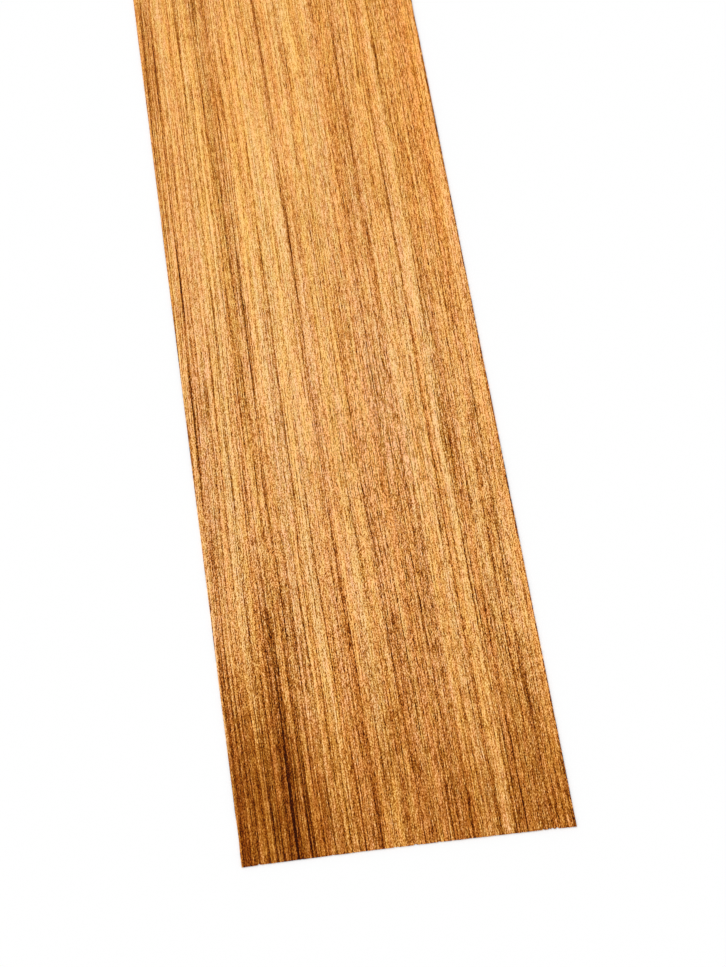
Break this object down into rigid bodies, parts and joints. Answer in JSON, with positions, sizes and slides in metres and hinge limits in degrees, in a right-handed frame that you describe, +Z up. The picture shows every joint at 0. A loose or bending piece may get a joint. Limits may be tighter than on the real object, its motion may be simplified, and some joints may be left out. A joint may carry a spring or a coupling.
{
  "type": "wood veneer sheet",
  "caption": "Long, thin flat rectangular sheet of sliced hardwood veneer, golden brown with straight fine dark grain, raw and unfinished, with straight long edges and square-cut ends.",
  "frame": {"origin": "middle of the back face, on the surface that the sheet lies on", "axes": "+Y along the grain and the length, towards the far end; +X across the width; +Z up, out of the show face"},
  "size_m": [0.15, 0.9, 0.0006],
  "materials": {
    "veneer_wood": "raw sliced face, matte, with open pores and fine straight dark grain lines"
  },
  "bodies": {
    "root": {"veneer_sheet": "veneer_wood"}
  },
  "joints": []
}
